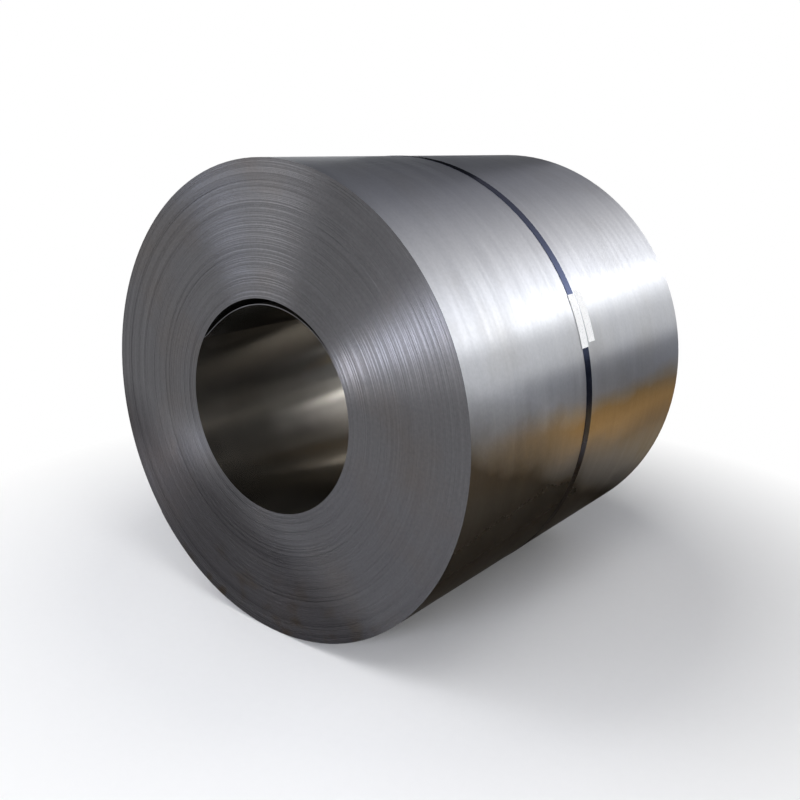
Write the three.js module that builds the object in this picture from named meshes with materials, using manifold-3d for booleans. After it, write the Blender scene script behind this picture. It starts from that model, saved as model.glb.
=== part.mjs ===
// A cold-rolled steel coil lying on its side, bound round its middle by one steel strap.
// The coil's axis runs along Y, and the origin is on the floor under its centre.
// Its strip is wound as a spiral, so both of its ends show: the tail outside and the free lap in the bore.
// Angles are in degrees round the coil's axis, from the top towards +X, as seen from the front (-Y) end.
import * as THREE from "three";
import * as BufferGeometryUtils from "three/addons/utils/BufferGeometryUtils.js";
import Module from "manifold-3d";

const wasm = await Module();
wasm.setup();

// Driving dimensions of the coil, in millimetres.
const outerDiameter = 1364;
const boreDiameter = 610;
const stripWidth = 1219;
const stripThickness = 2;
const tailAngle = 229;
const tailSlit = 1e-3; // degrees kept between the two sides of the tail's step

// The strip's inner end, which has sprung off the wall of the bore.
const freeLapStart = -57;
const freeLapSpan = 129;
const freeLapLift = 18;
const freeLapPeak = 0.24; // the share of its span at which it stands off most
const freeEndGap = 0.5;

// The turns' edges: how far each group of turns is shifted along the axis, from the bore outwards.
const turnShifts = [0.6, -1.1, 0.9, -0.4, 1.5, -0.7, 0.3, -1.5, 1.1, -0.2];
const groupSwing = 0.35; // how much the groups differ in depth

// The strap and the seal that joins its ends.
const strapWidth = 32;
const strapThickness = 0.9;
const strapCentre = -26;
const strapTail = 25; // strap past each end of the seal
const strapRamp = 8; // degrees over which the upper end climbs onto the lower one
const tailBridge = 9; // degrees over which the strap comes down from the tail's step
const sealAngle = -69;
const sealLength = 57;
const sealThickness = 1.2;
const sealSideGap = 0.6;
const notchSpacing = 28; // between the two crimped notches on each of the seal's sides
const notchLength = 7;
const notchDepth = 4.5; // from the seal's side inwards

// The two paper labels, one on the strap and one beside it.
const labelWidth = 36;
const labelLength = 153;
const labelThickness = 0.4;
const labelEnd = 75.6;
const labelStagger = 11;
const labelSpacing = 7;

// What lies on something else keeps this distance to it.
const clearance = 0.3;
const facets = 120; // flats round every turned surface
const cutMargin = 5;

// Worked out from the values above.
const outerRadius = outerDiameter / 2;
const boreRadius = boreDiameter / 2;
const facetAngle = 360 / facets;
const strapSeat = clearance;
const upperStrapSeat = strapSeat + strapThickness + clearance;
const sealSeat = upperStrapSeat + strapThickness + clearance;
const strapTailAngle = arcAngle(sealLength / 2 + strapTail, outerRadius);
const strapStart = sealAngle - strapTailAngle;
const strapEnd = 360 + sealAngle + strapTailAngle;
const axisHeight = onFacet(bed, 180) + strapSeat + strapThickness;

const brightSteel = new THREE.MeshStandardMaterial({ color: 0x8a8d92, roughness: 0.35, metalness: 1 });
const bluedSteel = new THREE.MeshStandardMaterial({ color: 0x23283f, roughness: 0.4, metalness: 1 });
const sealSteel = new THREE.MeshStandardMaterial({ color: 0x4a4e58, roughness: 0.4, metalness: 1 });
const paper = new THREE.MeshStandardMaterial({ color: 0xf4f4f0, roughness: 0.8, metalness: 0 });

function radians(degrees) {
  return (degrees * Math.PI) / 180;
}

/** The angle that an arc of this length takes up. */
function arcAngle(length, radius) {
  return (length / radius) * (180 / Math.PI);
}

/** An angle brought into 0 to 360, as a share of the full turn. */
function turnShare(degrees) {
  return (((degrees % 360) + 360) % 360) / 360;
}

/** A point of the end view, at a radius and an angle from the top. */
function polar(radius, angle) {
  return new THREE.Vector2(radius * Math.sin(radians(angle)), radius * Math.cos(radians(angle)));
}

/** The outside of the coil, a spiral that grows by one strip thickness up to the tail. */
function coilOutside(angle) {
  return outerRadius - stripThickness * (1 - turnShare(angle - tailAngle));
}

/** What lies round the coil follows its outside, and bridges the step that the tail makes. */
function bed(angle) {
  const bridged = THREE.MathUtils.clamp(1 - (360 * turnShare(angle - tailAngle)) / tailBridge, 0, 1);
  return coilOutside(angle) + stripThickness * bridged;
}

/** The wall of the bore, a spiral that grows by one strip thickness from the free lap's start. */
function coilInside(angle) {
  return boreRadius + stripThickness * turnShare(angle - freeLapStart);
}

/** How far the sprung lap's inner side stands off the wall, at a share of its span. */
function sprungLift(share) {
  const skew = Math.log(0.5) / Math.log(freeLapPeak);
  return freeLapLift * Math.sin(Math.PI * share ** skew) ** 1.5;
}

/** Angles from one to another, with the facet corners between them, of which the tail is one. */
function facetAngles(from, to) {
  const first = Math.floor(from / facetAngle);
  const count = Math.ceil(to / facetAngle) - first + 1;
  const corners = Array.from({ length: count }, (_, i) => (first + i + 0.5) * facetAngle);
  const tail = tailAngle + 360 * Math.ceil((from - tailAngle) / 360);
  const inside = [...corners, tail].filter((angle) => angle > from + tailSlit && angle < to - tailSlit);
  const sorted = inside.sort((a, b) => a - b);
  return [from, ...sorted.filter((angle, i) => i === 0 || angle - sorted[i - 1] > tailSlit), to];
}

/** The radius of a faceted surface at an angle, on the chord between its two nearest corners. */
function onFacet(surface, angle) {
  const corners = facetAngles(angle - 2 * facetAngle, angle + 2 * facetAngle).slice(1, -1);
  const low = corners.findLast((corner) => corner <= angle + tailSlit);
  const high = corners.find((corner) => corner > angle + tailSlit);
  const start = polar(surface(low), low);
  const edge = polar(surface(high - tailSlit), high).sub(start);
  return start.cross(edge) / polar(1, angle).cross(edge);
}

/** The points of a faceted surface between two angles, moved outwards by an offset that may vary. */
function arcPoints(surface, from, to, offset) {
  return facetAngles(from, to).map((angle) => polar(onFacet(surface, angle) + offset(angle), angle));
}

/** The outline of a band that lies on the coil between two angles. */
function bandShape(from, to, seat, thickness) {
  const under = arcPoints(bed, from, to, seat);
  const over = arcPoints(bed, from, to, (angle) => seat(angle) + thickness);
  return new THREE.Shape([...under, ...over.reverse()]);
}

/** An outline of the end view given a width, centred on a place along the axis. */
function alongAxis(shape, width, centre) {
  const geometry = new THREE.ExtrudeGeometry(shape, { depth: width, bevelEnabled: false });
  geometry.rotateX(Math.PI / 2);
  geometry.translate(0, centre + width / 2, axisHeight);
  return geometry;
}

/** A geometry as a solid that can be joined and cut. */
function toSolid(geometry) {
  const bare = geometry.clone();
  bare.deleteAttribute("normal");
  bare.deleteAttribute("uv");
  const merged = BufferGeometryUtils.mergeVertices(bare, 1e-3);
  const vertProperties = new Float32Array(merged.attributes.position.array);
  const triVerts = new Uint32Array(merged.index.array);
  return new wasm.Manifold(new wasm.Mesh({ numProp: 3, vertProperties, triVerts }));
}

/** A cut or joined solid as a geometry. */
function toGeometry(solid) {
  const mesh = solid.getMesh();
  const geometry = new THREE.BufferGeometry();
  geometry.setAttribute("position", new THREE.BufferAttribute(mesh.vertProperties, 3));
  geometry.setIndex(new THREE.BufferAttribute(mesh.triVerts, 1));
  return geometry;
}

/** The radii between the groups of turns, from inside the bore to outside the coil. */
function groupRadii() {
  const weights = turnShifts.map((_, i) => 1 + groupSwing * Math.sin(2.4 * i + 0.7));
  const total = weights.reduce((sum, weight) => sum + weight);
  const radii = [boreRadius];
  weights.forEach((weight) => radii.push(radii.at(-1) + (weight / total) * (outerRadius - boreRadius)));
  radii[0] = boreRadius - freeLapLift - cutMargin;
  radii[radii.length - 1] = outerRadius + cutMargin;
  return radii;
}

/** One turned blank whose ends are stepped where groups of turns stand out or sit back. */
function steppedBlank() {
  const radii = groupRadii();
  const face = (place) =>
    turnShifts.flatMap((shift, i) => [
      new THREE.Vector2(radii[i], place + shift),
      new THREE.Vector2(radii[i + 1], place + shift),
    ]);
  const front = face(-stripWidth / 2);
  const back = face(stripWidth / 2).reverse();
  const profile = [...front, ...back, front[0]];
  const blank = new THREE.LatheGeometry(profile, facets, radians(facetAngle / 2));
  blank.translate(0, 0, axisHeight);
  return blank;
}

/** The bore's outline, which runs round the free lap and into the gap behind it. */
function boreHole() {
  const root = freeLapStart + freeLapSpan;
  const share = (angle) => (angle - freeLapStart) / freeLapSpan;
  const lapFace = (angle) => coilInside(angle) - sprungLift(share(angle)) - freeEndGap * (1 - share(angle));
  const lapBack = (angle) => lapFace(angle) + stripThickness;
  const wallBehind = (angle) => coilInside(angle) + stripThickness;
  const lapAngles = facetAngles(freeLapStart, root).slice(0, -1);
  const restAngles = facetAngles(root, freeLapStart + 360).slice(1, -1);
  const outline = (surface, angles) => angles.map((angle) => polar(surface(angle), angle));
  return new THREE.Path([
    ...outline(lapFace, lapAngles),
    ...outline(coilInside, restAngles),
    ...outline(wallBehind, lapAngles),
    ...outline(lapBack, lapAngles.slice(0, -1)).reverse(),
  ]);
}

/** The coil: the spiral's end view along the strip's width, with stepped ends. */
function coilGeometry() {
  const angles = facetAngles(tailAngle, tailAngle + 360 - tailSlit).reverse();
  const outline = new THREE.Shape(angles.map((angle) => polar(coilOutside(angle), angle)));
  outline.holes.push(boreHole());
  const wound = toSolid(alongAxis(outline, stripWidth + 2 * cutMargin, 0));
  return toGeometry(wound.intersect(toSolid(steppedBlank())));
}

/** The strap: one band round the coil, whose upper end lies on its lower end inside the seal. */
function strapGeometry() {
  const rampEnd = 360 + strapStart - 1;
  const rise = (angle) => THREE.MathUtils.clamp((angle - rampEnd + strapRamp) / strapRamp, 0, 1);
  const seat = (angle) => THREE.MathUtils.lerp(strapSeat, upperStrapSeat, rise(angle));
  return alongAxis(bandShape(strapStart, strapEnd, seat, strapThickness), strapWidth, strapCentre);
}

/** The room that one crimp leaves in the seal's side, a box square to the coil's surface. */
function sealNotch(along, side) {
  const geometry = new THREE.BoxGeometry(notchLength, 2 * notchDepth, 2 * outerRadius);
  const reach = strapWidth / 2 + sealSideGap + sealThickness;
  geometry.translate(0, 0, outerRadius);
  geometry.rotateY(radians(sealAngle + arcAngle(along, outerRadius)));
  geometry.translate(0, strapCentre + side * reach, axisHeight);
  return toSolid(geometry);
}

/** The seal: a plate over the strap's two ends, folded down past both edges and crimped on both sides. */
function sealGeometry() {
  const half = arcAngle(sealLength / 2, outerRadius);
  const from = sealAngle - half;
  const to = sealAngle + half;
  const plateWidth = strapWidth + 2 * (sealSideGap + sealThickness);
  const plate = toSolid(alongAxis(bandShape(from, to, () => sealSeat, sealThickness), plateWidth, strapCentre));
  const sideHeight = sealSeat + sealThickness - strapSeat;
  const sides = [-1, 1].map((side) => {
    const centre = strapCentre + (side * (plateWidth - sealThickness)) / 2;
    return toSolid(alongAxis(bandShape(from, to, () => strapSeat, sideHeight), sealThickness, centre));
  });
  const places = [-notchSpacing / 2, notchSpacing / 2];
  const notches = places.flatMap((along) => [sealNotch(along, -1), sealNotch(along, 1)]);
  const folded = plate.add(sides[0]).add(sides[1]);
  return toGeometry(notches.reduce((left, notch) => left.subtract(notch), folded));
}

/** A paper label: a strip that lies on the coil or on the strap. */
function labelGeometry(end, seat, centre) {
  const from = end - arcAngle(labelLength, outerRadius);
  return alongAxis(bandShape(from, end, () => seat, labelThickness), labelWidth, centre);
}

function piece(name, geometry, material) {
  const mesh = new THREE.Mesh(geometry, material);
  mesh.name = name;
  return mesh;
}

const coil = new THREE.Group();
const besideEnd = labelEnd - arcAngle(labelStagger, outerRadius);
const besideCentre = strapCentre + labelWidth + labelSpacing;
const onStrap = strapSeat + strapThickness + clearance;
coil.add(piece("coil", coilGeometry(), brightSteel));
coil.add(piece("strap", strapGeometry(), bluedSteel));
coil.add(piece("strap_seal", sealGeometry(), sealSteel));
coil.add(piece("label_on_strap", labelGeometry(labelEnd, onStrap, strapCentre), paper));
coil.add(piece("label_beside_strap", labelGeometry(besideEnd, clearance, besideCentre), paper));

export default coil;
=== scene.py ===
import logging
import math
from collections.abc import Sequence
from dataclasses import dataclass
from enum import Enum

import bpy
import numpy as np
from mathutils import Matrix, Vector


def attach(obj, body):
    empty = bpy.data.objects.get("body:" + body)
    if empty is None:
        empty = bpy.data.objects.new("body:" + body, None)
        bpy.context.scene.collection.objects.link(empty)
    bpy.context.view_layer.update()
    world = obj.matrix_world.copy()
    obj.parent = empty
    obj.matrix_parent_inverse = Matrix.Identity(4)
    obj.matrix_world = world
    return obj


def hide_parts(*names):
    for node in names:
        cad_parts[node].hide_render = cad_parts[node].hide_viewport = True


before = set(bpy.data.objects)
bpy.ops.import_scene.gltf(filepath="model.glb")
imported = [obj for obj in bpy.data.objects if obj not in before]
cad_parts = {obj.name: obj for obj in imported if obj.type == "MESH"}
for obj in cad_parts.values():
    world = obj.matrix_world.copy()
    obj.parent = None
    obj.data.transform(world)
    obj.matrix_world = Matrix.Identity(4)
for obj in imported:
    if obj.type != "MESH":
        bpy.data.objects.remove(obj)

Material = bpy.types.Material
Node = bpy.types.Node
Object = bpy.types.Object
Socket = bpy.types.NodeSocket
Tree = bpy.types.NodeTree

log = logging.getLogger("coil")

SEED = 20
SHARP_ANGLE = 32.0  # degrees between two faces from which their edge stays sharp


# --- Small tools ---


class Zone(Enum):
    """The parts of the coil's surface, each with a finish of its own."""

    BARREL = 0
    EDGES = 1
    BORE = 2


class Blend(Enum):
    """The ways of mixing two colours, by Blender's names."""

    MIX = "MIX"
    MULTIPLY = "MULTIPLY"
    ADD = "ADD"


def linear(colour: str) -> tuple[float, float, float, float]:
    """Turn a colour from sRGB hex to linear.

    Args:
        colour: The colour, such as "#8090a0".

    Returns:
        The linear RGBA that a shader takes.
    """
    parts = [int(colour[i : i + 2], 16) / 255 for i in (1, 3, 5)]
    red, green, blue = (
        part / 12.92 if part <= 0.04045 else ((part + 0.055) / 1.055) ** 2.4 for part in parts
    )
    return red, green, blue, 1.0


def feed(node: Node, inputs: dict[str | int, object]) -> None:
    """Link or set several inputs of a node.

    Args:
        node: The shader node.
        inputs: For each input, by name or number, a socket to link or a value to set.
    """
    for name, value in inputs.items():
        if isinstance(value, Socket):
            node.id_data.links.new(value, node.inputs[name])
        else:
            node.inputs[name].default_value = value


def add_node(
    tree: Tree,
    kind: str,
    settings: dict[str, object] | None = None,
    inputs: dict[str | int, object] | None = None,
) -> Node:
    """Add one shader node.

    Args:
        tree: The node tree that it joins.
        kind: Blender's name for the kind of node.
        settings: Values for the node's own properties.
        inputs: For each input, by name or number, a socket to link or a value to set.

    Returns:
        The new node.
    """
    node = tree.nodes.new(kind)
    for name, value in (settings or {}).items():
        setattr(node, name, value)
    feed(node, inputs or {})
    return node


def new_material(name: str) -> tuple[Material, Node]:
    """An empty material with a principled shader.

    Args:
        name: The material's name.

    Returns:
        The material and its shader node.
    """
    material = bpy.data.materials.new(name)
    material.use_nodes = True
    tree = material.node_tree
    tree.nodes.clear()
    shader = add_node(tree, "ShaderNodeBsdfPrincipled")
    add_node(tree, "ShaderNodeOutputMaterial", inputs={"Surface": shader.outputs["BSDF"]})
    return material, shader


def smoothstep(share: np.ndarray) -> np.ndarray:
    """Ease from 0 to 1."""
    share = np.clip(share, 0.0, 1.0)
    return share * share * (3 - 2 * share)


def make_mesh(name: str, points: np.ndarray, faces: Sequence[Sequence[int]]) -> Object:
    """A mesh object with smooth faces and sharp corners.

    Args:
        name: The object's name.
        points: One row for each vertex, in metres.
        faces: The vertex numbers of each face, anticlockwise from outside.

    Returns:
        The object, linked to the scene.
    """
    mesh = bpy.data.meshes.new(name)
    mesh.from_pydata(points.tolist(), [], [list(face) for face in faces])
    mesh.validate()
    mesh.shade_smooth()
    mesh.set_sharp_from_angle(angle=math.radians(SHARP_ANGLE))
    thing = bpy.data.objects.new(name, mesh)
    bpy.context.scene.collection.objects.link(thing)
    return thing


def loft(rings: np.ndarray) -> tuple[np.ndarray, list[list[int]]]:
    """Join equal rings of points into a closed body.

    Args:
        rings: An array of rings by points by 3. Looked at from beyond the last ring, each one
            runs anticlockwise.

    Returns:
        The vertices, and the faces as vertex numbers.
    """
    count, size, _ = rings.shape
    faces = [list(range(size))[::-1], [(count - 1) * size + k for k in range(size)]]
    for ring in range(count - 1):
        for k in range(size):
            here, after = ring * size + k, ring * size + (k + 1) % size
            faces.append([here, after, after + size, here + size])
    return rings.reshape(-1, 3), faces


# --- Sizes ---


@dataclass(frozen=True)
class CoilSize:
    """The coil's sizes in metres, and its angles in degrees from the top towards +X."""

    outer_radius: float = 0.682
    bore_radius: float = 0.305
    strip_width: float = 1.219
    axis_height: float = 0.68269
    turns: int = 187  # whole turns between the free end and the tail
    samples: int = 126  # round one turn
    tail_samples: int = 100  # from the free end's angle round to the tail's
    free_start: float = -57.0
    free_span: float = 129.0
    free_lift: float = 0.018
    free_peak: float = 0.24  # the share of its span at which the free lap stands off most
    free_round: float = 1.5  # how flat the free lap lies at both ends of its bulge
    free_gap: float = 0.0005  # how far the very end of the free lap stands off
    tail_bridge: float = 9.0  # degrees over which a band comes down from the tail's step

    @property
    def last(self) -> int:
        """The number of the sample at the tail."""
        return self.turns * self.samples + self.tail_samples

    @property
    def root(self) -> int:
        """The sample where the sprung lap meets the wall of the bore again."""
        return round(self.free_span / 360 * self.samples)

    @property
    def pitch(self) -> float:
        """How much the spiral grows in one turn, which is the strip's thickness."""
        grown = self.outer_radius - self.bore_radius
        return grown / (self.last / self.samples + 1)

    def angle(self, sample: np.ndarray) -> np.ndarray:
        """The angle of a sample, in radians."""
        return np.radians(self.free_start + 360 * sample / self.samples)

    def past_tail(self, degrees: np.ndarray) -> np.ndarray:
        """How many degrees an angle lies past the tail."""
        return np.mod(degrees - self.free_start - 360 * self.tail_samples / self.samples, 360)

    def outside(self, degrees: np.ndarray) -> np.ndarray:
        """The radius of the coil's outside at an angle, up to the tail's step."""
        return self.outer_radius - self.pitch * (1 - self.past_tail(degrees) / 360)

    def bed(self, degrees: np.ndarray) -> np.ndarray:
        """What a band round the coil lies on: the outside, with the tail's step bridged over."""
        share = 1 - self.past_tail(degrees) / self.tail_bridge
        return self.outside(degrees) + self.pitch * np.clip(share, 0, 1)

    def place(self, radius: np.ndarray, angle: np.ndarray, along: np.ndarray) -> np.ndarray:
        """Points in the frame.

        Args:
            radius: Distances from the coil's axis.
            angle: Angles in radians from the top towards +X.
            along: Places along the axis.

        Returns:
            An array of points by 3.
        """
        radius, angle, along = np.broadcast_arrays(radius, angle, along)
        across = radius * np.sin(angle)
        height = self.axis_height + radius * np.cos(angle)
        return np.stack([across, along, height], axis=-1)


# --- The coil ---


@dataclass(frozen=True)
class Winding:
    """How far the strip's edges wandered as it was wound, in metres along the axis and in turns."""

    drift: float = 0.00018  # slow wander
    drift_turns: float = 7.0
    group: float = 0.00006  # levels that several laps share
    group_turns: tuple[float, float] = (2.0, 7.0)
    group_ease: float = 0.35  # turns that a change of group takes
    jitter: float = 0.00003  # quick wander of single laps
    jitter_turns: float = 0.6
    burr: float = 0.00006  # how much higher one corner of the slit edge is than the other
    burr_jitter: float = 0.00002
    burr_turns: float = 0.8
    proud: float = 0.0006  # how far a single lap that slipped stands out
    proud_laps: int = 14
    proud_turns: tuple[float, float] = (0.15, 0.8)
    proud_least: float = 0.5  # the smallest slip's share of the largest
    quiet_turns: float = 4.0  # turns at both ends of the strip where none slipped
    reach: float = 0.0013  # nothing stands out or sits back further than this


@dataclass
class CoilBody:
    """The wound strip: one closed spiral surface with every lap's edge on both ends."""

    size: CoilSize
    winding: Winding
    seed: int

    def __post_init__(self) -> None:
        """Start the random draws, and number the samples along the strip."""
        self.random = np.random.default_rng(self.seed)
        self.sample = np.arange(self.size.last + 1)
        self.turn = self.sample / self.size.samples

    def knots(self, spacing: float, amount: float) -> np.ndarray:
        """A smooth random wander along the strip.

        Args:
            spacing: Turns between two independent values.
            amount: The wander's standard deviation.

        Returns:
            One value for each sample.
        """
        count = int(self.turn[-1] / spacing) + 3
        values = self.random.normal(0, amount, count)
        place = self.turn / spacing
        first = place.astype(int)
        share = smoothstep(place - first)
        return values[first] * (1 - share) + values[first + 1] * share

    def groups(self, amount: float) -> np.ndarray:
        """A random level for each group of turns, with a short change between groups.

        Args:
            amount: The levels' standard deviation.

        Returns:
            One value for each sample.
        """
        level = np.zeros_like(self.turn)
        start = 0.0
        while start < self.turn[-1]:
            step = self.random.normal(0, amount)
            rise = smoothstep((self.turn - start) / self.winding.group_ease)
            level = level * (1 - rise) + step * rise
            start += self.random.uniform(*self.winding.group_turns)
        return level

    def proud_laps(self) -> np.ndarray:
        """Let short stretches of single laps stand out of the end.

        Returns:
            How far they stand out, one value for each sample.
        """
        wind = self.winding
        raised = np.zeros_like(self.turn)
        for _ in range(wind.proud_laps):
            start = self.random.uniform(wind.quiet_turns, self.turn[-1] - wind.quiet_turns)
            span = self.random.uniform(*wind.proud_turns)
            share = np.clip((self.turn - start) / span, 0, 1)
            height = self.random.uniform(wind.proud_least, 1.0) * wind.proud
            raised += height * np.sin(math.pi * share) ** 0.5
        return raised

    def edge_offsets(self) -> tuple[np.ndarray, np.ndarray]:
        """Work out how far one edge of the strip stands out, at its inner and its outer corner.

        Returns:
            The inner and the outer corner's offsets, one value for each sample.
        """
        wind = self.winding
        level = (
            self.knots(wind.drift_turns, wind.drift)
            + self.groups(wind.group)
            + self.knots(wind.jitter_turns, wind.jitter)
            + self.proud_laps()
        )
        level = np.clip(level, -wind.reach, wind.reach)
        lean = self.groups(wind.burr) + self.knots(wind.burr_turns, wind.burr_jitter)
        return level - lean / 2, level + lean / 2

    def lap_radii(self) -> tuple[np.ndarray, np.ndarray]:
        """Work out the radii of the strip's two sides, with the free lap sprung off the wall.

        Returns:
            The inner and the outer radii, one value for each sample.
        """
        size = self.size
        inner = size.bore_radius + size.pitch * self.turn
        share = np.clip(self.sample / size.root, 0, 1)
        # At the peak this power of the share is a half, where the sine is highest.
        skew = math.log(0.5) / math.log(size.free_peak)
        lift = size.free_lift * np.abs(np.sin(math.pi * share**skew)) ** size.free_round
        lift = lift + size.free_gap * (1 - share)
        inner = inner - np.where(self.sample <= size.root, lift, 0)
        return inner, inner + size.pitch

    def points(self) -> np.ndarray:
        """Place the vertices: four rails along the spiral, one after the other.

        Returns:
            An array of points by 3.
        """
        size = self.size
        inner, outer = self.lap_radii()
        angle = size.angle(self.sample)
        rails = []
        for side in (-1, 1):
            offset_in, offset_out = self.edge_offsets()
            along = side * size.strip_width / 2
            rails.append(size.place(inner, angle, along + side * offset_in))
            rails.append(size.place(outer, angle, along + side * offset_out))
        return np.concatenate(rails)

    def faces(self) -> tuple[np.ndarray, np.ndarray]:
        """The faces as vertex numbers, and each one's zone.

        Returns:
            An array of quads, and an array of zone numbers.
        """
        size = self.size
        last, turn, root = size.last, size.samples, size.root
        rail = last + 1
        front_in, front_out, back_in, back_out = (self.sample + k * rail for k in range(4))
        for inner, outer in ((front_in, front_out), (back_in, back_out)):
            inner[root + turn] = outer[root]
            inner[last] = outer[last - turn]

        def strip(one: np.ndarray, other: np.ndarray) -> np.ndarray:
            """Quads between two rows of vertices, facing the side where the first is on the left."""
            return np.stack([one[:-1], other[:-1], other[1:], one[1:]], axis=1)

        def step(inner: np.ndarray, outer: np.ndarray) -> tuple[np.ndarray, np.ndarray]:
            """The rows on both sides of the small steps between a lap and the next one out."""
            return outer[root : last - turn + 1], inner[root + turn : last + 1]

        front_low, front_high = step(front_in, front_out)
        back_low, back_high = step(back_in, back_out)
        parts = [
            (strip(front_out, front_in), Zone.EDGES),
            (strip(front_high, front_low), Zone.EDGES),
            (strip(back_in, back_out), Zone.EDGES),
            (strip(back_low, back_high), Zone.EDGES),
            (strip(front_in[: turn + root + 1], back_in[: turn + root + 1]), Zone.BORE),
            (strip(back_out[: root + 1], front_out[: root + 1]), Zone.BORE),
            (strip(back_out[last - turn :], front_out[last - turn :]), Zone.BARREL),
            (np.array([[front_in[0], front_out[0], back_out[0], back_in[0]]]), Zone.EDGES),
            (np.array([[front_in[-1], back_in[-1], back_out[-1], front_out[-1]]]), Zone.EDGES),
        ]
        quads = np.concatenate([part for part, _ in parts])
        zones = np.concatenate([np.full(len(part), zone.value) for part, zone in parts])
        return quads, zones

    def build(self, finishes: dict[Zone, Material]) -> Object:
        """Make the coil's mesh and dress it.

        Args:
            finishes: The material of each zone.

        Returns:
            The coil as one object.
        """
        points = self.points()
        quads, zones = self.faces()
        used, flat = np.unique(quads, return_inverse=True)
        quads = flat.reshape(quads.shape)
        # Where a step between laps starts or ends, two corners of its quad are one vertex.
        faces = [list(dict.fromkeys(quad)) for quad in quads.tolist()]
        thing = make_mesh("steel_coil", points[used], faces)
        for zone in Zone:
            thing.data.materials.append(finishes[zone])
        thing.data.polygons.foreach_set("material_index", zones.astype(np.int32))
        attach(thing, "root")
        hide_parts("coil")
        return thing


# --- The strap, its seal and the labels ---


@dataclass(frozen=True)
class StrapSize:
    """The steel strap's sizes in metres, and its angles in degrees."""

    width: float = 0.032
    thickness: float = 0.0009
    corner: float = 0.00025  # how far its corners are broken
    centre: float = -0.026
    seat: float = 0.00004  # how high its underside lies over the coil
    lap_seat: float = 0.0011  # how high the upper end's underside lies over the coil
    seal_angle: float = -69.0
    half_overlap: float = 4.49  # degrees on each side of the seal's middle
    ramp: float = 8.0  # degrees over which the upper end climbs onto the lower one
    ramp_end: float = 1.0  # degrees before the overlap where it is up
    wander: float = 0.013  # how far it lies off its line at one place
    wander_at: float = 128.0
    wander_spread: float = 26.0
    step: float = 1.0  # degrees between two of its cross-sections


@dataclass(frozen=True)
class Strap:
    """One band of blued steel round the coil's middle."""

    size: StrapSize
    coil: CoilSize

    def centre(self, degrees: np.ndarray) -> np.ndarray:
        """Find the strap's middle, which wanders a little where the band is hard to reach.

        Args:
            degrees: Angles round the coil.

        Returns:
            Places along the axis.
        """
        size = self.size
        away = (np.mod(degrees + 180, 360) - 180 - size.wander_at) / size.wander_spread
        return size.centre + size.wander * np.exp(-(away**2))

    def seat(self, degrees: np.ndarray) -> np.ndarray:
        """Find how high the strap's underside lies over the coil.

        Args:
            degrees: Angles round the coil.

        Returns:
            Heights over the coil.
        """
        size = self.size
        top = 360 + size.seal_angle - size.half_overlap - size.ramp_end
        rise = smoothstep((degrees - top + size.ramp) / size.ramp)
        return size.seat + (size.lap_seat - size.seat) * rise

    def outline(self) -> np.ndarray:
        """Draw the band's cross-section, with broken corners.

        Returns:
            Its corners as (along, up) pairs.
        """
        half, thick, cut = self.size.width / 2, self.size.thickness, self.size.corner
        corners = [
            (-half, cut),
            (-half + cut, 0),
            (half - cut, 0),
            (half, cut),
            (half, thick - cut),
            (half - cut, thick),
            (-half + cut, thick),
            (-half, thick - cut),
        ]
        return np.array(corners)

    def rings(self) -> np.ndarray:
        """Place the cross-section at each step round the coil.

        Returns:
            An array of steps by corners by 3.
        """
        size = self.size
        start = size.seal_angle - size.half_overlap
        end = 360 + size.seal_angle + size.half_overlap
        degrees = np.linspace(start, end, int((end - start) / size.step) + 1)[:, None]
        outline = self.outline()
        radius = self.coil.bed(degrees) + self.seat(degrees) + outline[None, :, 1]
        along = self.centre(degrees) + outline[None, :, 0]
        return self.coil.place(radius, np.radians(degrees), along)

    def build(self, finish: Material) -> Object:
        """Make the strap and dress it.

        Args:
            finish: The strap's material.

        Returns:
            The strap as one object.
        """
        thing = make_mesh("steel_strap", *loft(self.rings()))
        thing.data.materials.append(finish)
        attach(thing, "root")
        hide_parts("strap")
        return thing


@dataclass(frozen=True)
class SealSize:
    """The seal's sizes in metres."""

    length: float = 0.057
    sheet: float = 0.0012
    side_gap: float = 0.0006  # between the strap's side and the folded sheet
    under: float = 0.0021  # its underside's height over the coil
    notch_spacing: float = 0.028
    notch_length: float = 0.007
    notch_depth: float = 0.0045
    bulge: float = 0.0003  # how much higher it stands where it isn't crimped
    crimp_lip: float = 0.0004  # half the length over which a notch begins
    sections: int = 15


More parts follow.
